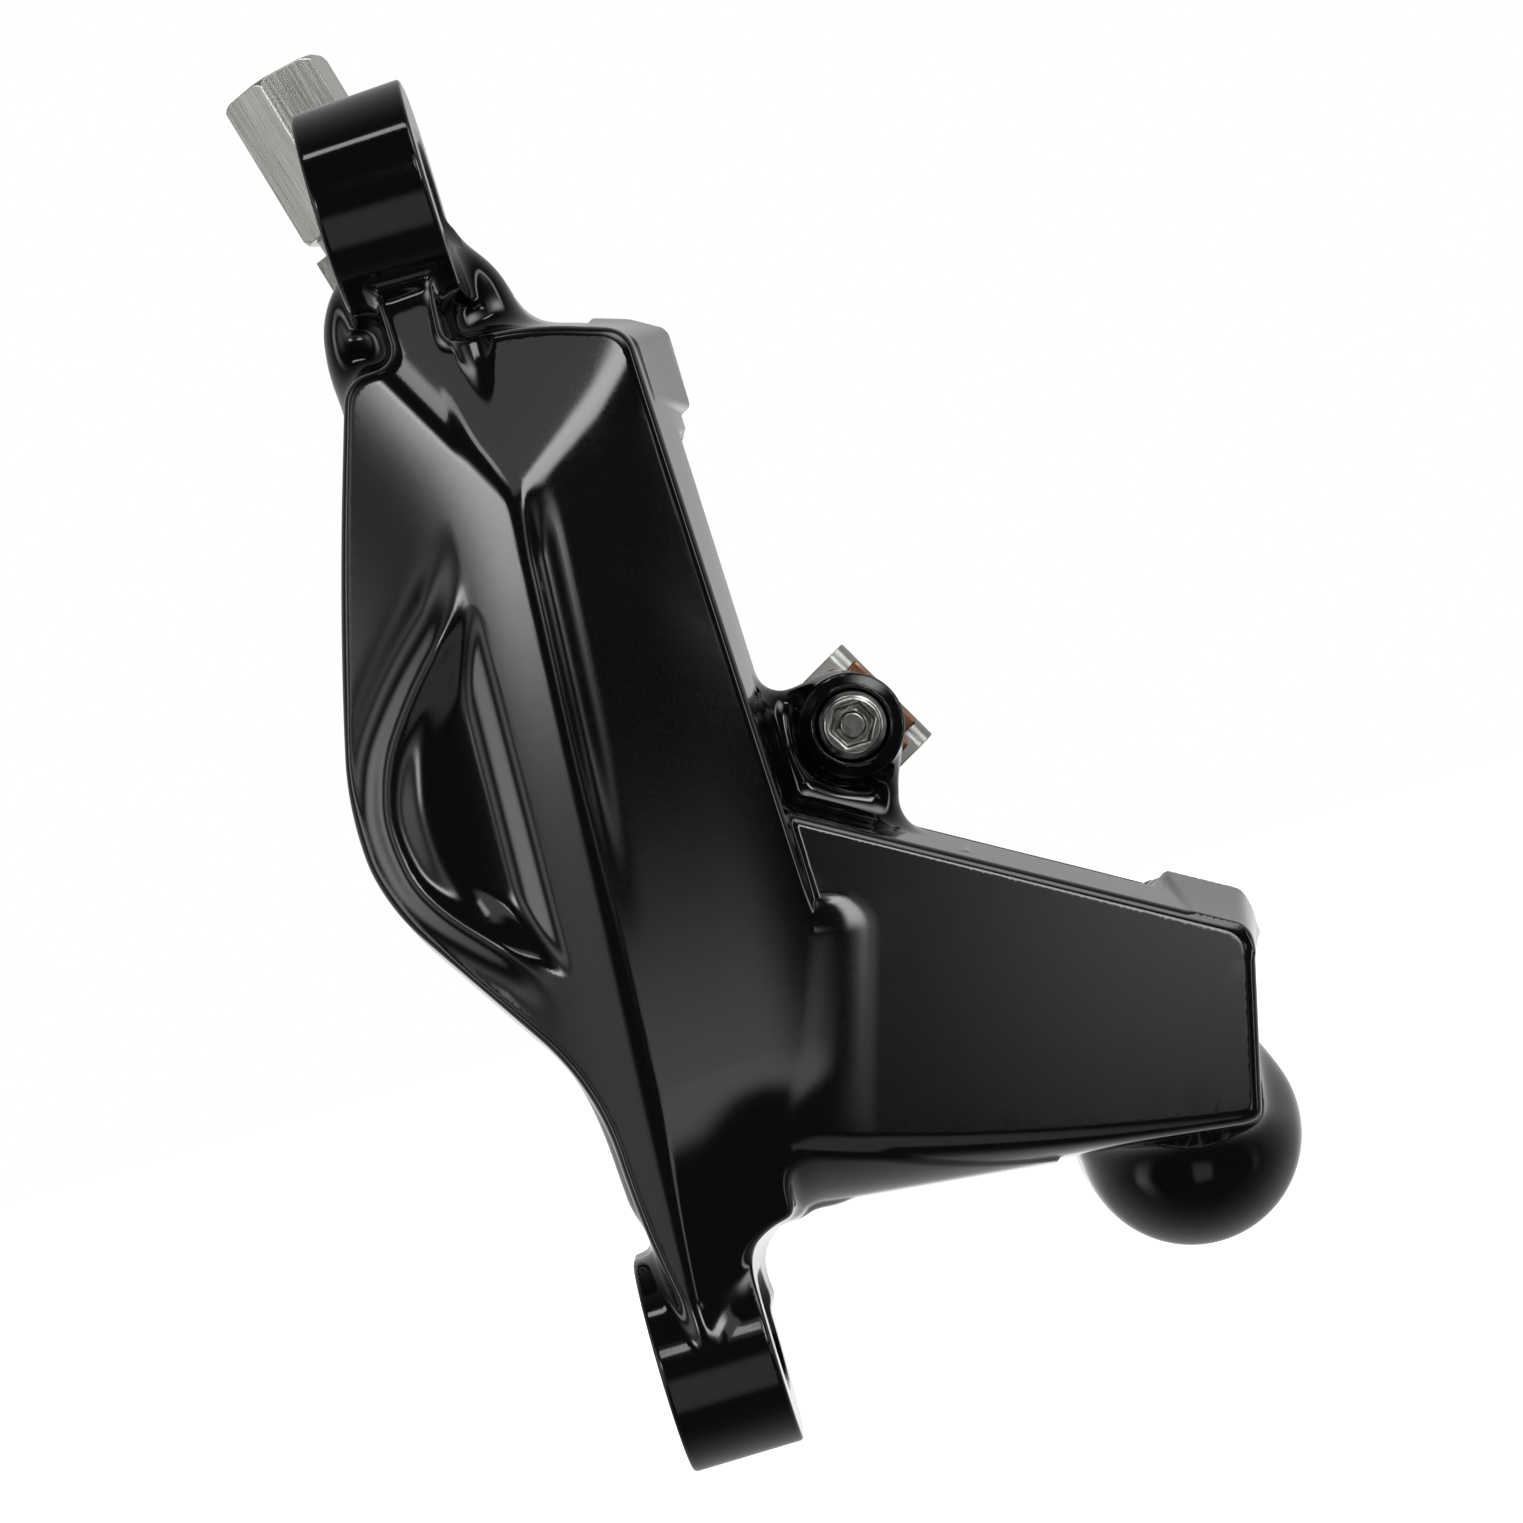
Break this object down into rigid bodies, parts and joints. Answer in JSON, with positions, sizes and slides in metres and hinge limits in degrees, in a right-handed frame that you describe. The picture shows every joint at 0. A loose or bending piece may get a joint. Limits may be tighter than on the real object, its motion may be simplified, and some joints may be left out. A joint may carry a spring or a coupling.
{
  "type": "bicycle disc brake caliper",
  "caption": "Hydraulic bicycle disc brake caliper with opposed pistons, a faceted two-piece body, slotted post mount tabs, spring-loaded pads and a swivelling hose fitting.",
  "frame": {"origin": "middle of the line between the two mounting slots, on the mount faces of the tabs", "axes": "-X through the mount faces into the posts, +Z along the line of the two posts, +Y along the wheel's axle towards the wheel, so -Y is the outboard side in the picture"},
  "size_m": [0.054, 0.041, 0.0951],
  "materials": {
    "body_black": "forged aluminium under a deep gloss black coat",
    "bolt_black": "black oxide",
    "piston_black": "moulded phenolic resin, satin",
    "seal_rubber": "matt",
    "copper_plate": "thin copper plating, slightly dull",
    "friction_compound": "pressed compound with metal flecks",
    "spring_steel": "rolled stainless strip",
    "pin_steel": "polished stainless",
    "clip_steel": "zinc plated",
    "fitting_steel": "brushed along the hose",
    "banjo_alloy": "satin anodised",
    "banjo_bolt_black": "black anodised",
    "washer_copper": "soft copper",
    "olive_brass": "bright",
    "bleed_screw_grey": "grey anodised",
    "cover_rubber": "satin"
  },
  "bodies": {
    "caliper_body": {"outboard_body": "body_black", "inboard_body": "body_black", "body_bolts": "bolt_black", "crossover_seals": "seal_rubber", "outboard_upper_seal": "seal_rubber", "outboard_lower_seal": "seal_rubber", "inboard_upper_seal": "seal_rubber", "inboard_lower_seal": "seal_rubber", "pad_spring": "spring_steel", "pad_pin": "pin_steel", "pin_clip": "clip_steel", "banjo_bolt": "banjo_bolt_black", "banjo_washers": "washer_copper", "bleed_screw_seal": "seal_rubber", "bleed_cover": "cover_rubber"},
    "outboard_pad": {"outboard_backplate": "copper_plate", "outboard_friction": "friction_compound"},
    "inboard_pad": {"inboard_backplate": "copper_plate", "inboard_friction": "friction_compound"},
    "outboard_upper_piston": {"outboard_upper_piston": "piston_black"},
    "outboard_lower_piston": {"outboard_lower_piston": "piston_black"},
    "inboard_upper_piston": {"inboard_upper_piston": "piston_black"},
    "inboard_lower_piston": {"inboard_lower_piston": "piston_black"},
    "hose_fitting": {"banjo": "banjo_alloy", "compression_nut": "fitting_steel", "hose_olive": "olive_brass"},
    "bleed_screw": {"bleed_screw": "bleed_screw_grey"}
  },
  "joints": [
    {"name": "outboard_pad_slide", "type": "slide", "parent": "caliper_body", "child": "outboard_pad", "axis": [0, 1, 0], "range_m": [-0.0006, 0.00115], "stiffness_N_per_m": 1000, "deforming": ["pad_spring"]},
    {"name": "inboard_pad_slide", "type": "slide", "parent": "caliper_body", "child": "inboard_pad", "axis": [0, -1, 0], "range_m": [-0.0006, 0.00115], "stiffness_N_per_m": 1000},
    {"name": "outboard_upper_piston_slide", "type": "slide", "parent": "caliper_body", "child": "outboard_upper_piston", "axis": [0, 1, 0], "range_m": [-0.0006, 0.00115], "stiffness_N_per_m": 1000},
    {"name": "outboard_lower_piston_slide", "type": "slide", "parent": "caliper_body", "child": "outboard_lower_piston", "axis": [0, 1, 0], "range_m": [-0.0006, 0.00115], "stiffness_N_per_m": 1000},
    {"name": "inboard_upper_piston_slide", "type": "slide", "parent": "caliper_body", "child": "inboard_upper_piston", "axis": [0, -1, 0], "range_m": [-0.0006, 0.00115], "stiffness_N_per_m": 1000},
    {"name": "inboard_lower_piston_slide", "type": "slide", "parent": "caliper_body", "child": "inboard_lower_piston", "axis": [0, -1, 0], "range_m": [-0.0006, 0.00115], "stiffness_N_per_m": 1000},
    {"name": "banjo_swivel", "type": "hinge", "parent": "caliper_body", "child": "hose_fitting", "pos_m": [0.0036, 0.0238, 0.0292], "axis": [0, 1, 0], "range_deg": [-45, 65]},
    {"name": "bleed_screw_turn", "type": "hinge", "parent": "caliper_body", "child": "bleed_screw", "pos_m": [0.0367, 0.021, -0.0347], "axis": [0, 1, 0], "range_deg": [0, 90]}
  ],
  "couplings": [
    {"joint": "inboard_pad_slide", "follows": "outboard_pad_slide", "ratio": 1},
    {"joint": "outboard_upper_piston_slide", "follows": "outboard_pad_slide", "ratio": 1},
    {"joint": "outboard_lower_piston_slide", "follows": "outboard_pad_slide", "ratio": 1},
    {"joint": "inboard_upper_piston_slide", "follows": "outboard_pad_slide", "ratio": 1},
    {"joint": "inboard_lower_piston_slide", "follows": "outboard_pad_slide", "ratio": 1}
  ]
}
